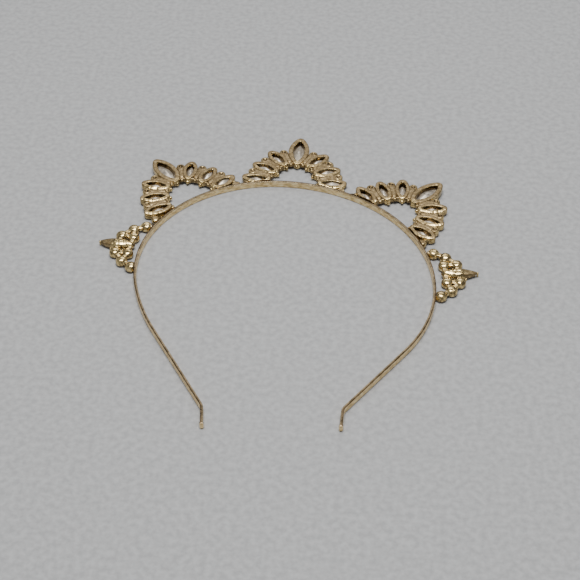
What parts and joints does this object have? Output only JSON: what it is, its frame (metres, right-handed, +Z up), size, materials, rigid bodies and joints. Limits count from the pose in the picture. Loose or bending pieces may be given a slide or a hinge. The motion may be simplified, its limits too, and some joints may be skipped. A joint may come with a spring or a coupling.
{
  "type": "mini crown headband",
  "caption": "Narrow metal headband strip bent to an open arch, with fan-shaped crown ornaments along its top and a small spray at each temple, set with marquise and round stones.",
  "frame": {"origin": "middle of the bounding box on the floor that the headband lies on", "axes": "+X from temple to temple, +Y from the leg tips towards the top of the crown, +Z up out of the floor, so the backs of the ornaments face +Z"},
  "size_m": [0.1624, 0.179, 0.0038],
  "materials": {
    "gold_metal": "satin gold plating, polished on the sides",
    "clear_stone": "cut and polished"
  },
  "bodies": {
    "root": {"band": "gold_metal", "crown_center": "gold_metal", "crown_left": "gold_metal", "crown_right": "gold_metal", "side_left": "gold_metal", "side_right": "gold_metal", "marquise_center_1": "clear_stone", "marquise_center_2": "clear_stone", "marquise_center_3": "clear_stone", "marquise_center_4": "clear_stone", "marquise_center_5": "clear_stone", "marquise_center_6": "clear_stone", "marquise_center_7": "clear_stone", "marquise_left_1": "clear_stone", "marquise_left_2": "clear_stone", "marquise_left_3": "clear_stone", "marquise_left_4": "clear_stone", "marquise_left_5": "clear_stone", "marquise_left_6": "clear_stone", "marquise_left_7": "clear_stone", "marquise_right_1": "clear_stone", "marquise_right_2": "clear_stone", "marquise_right_3": "clear_stone", "marquise_right_4": "clear_stone", "marquise_right_5": "clear_stone", "marquise_right_6": "clear_stone", "marquise_right_7": "clear_stone", "marquise_side_left": "clear_stone", "marquise_side_right": "clear_stone", "rounds_center": "clear_stone", "rounds_left": "clear_stone", "rounds_right": "clear_stone", "rounds_side_left": "clear_stone", "rounds_side_right": "clear_stone"}
  },
  "joints": []
}
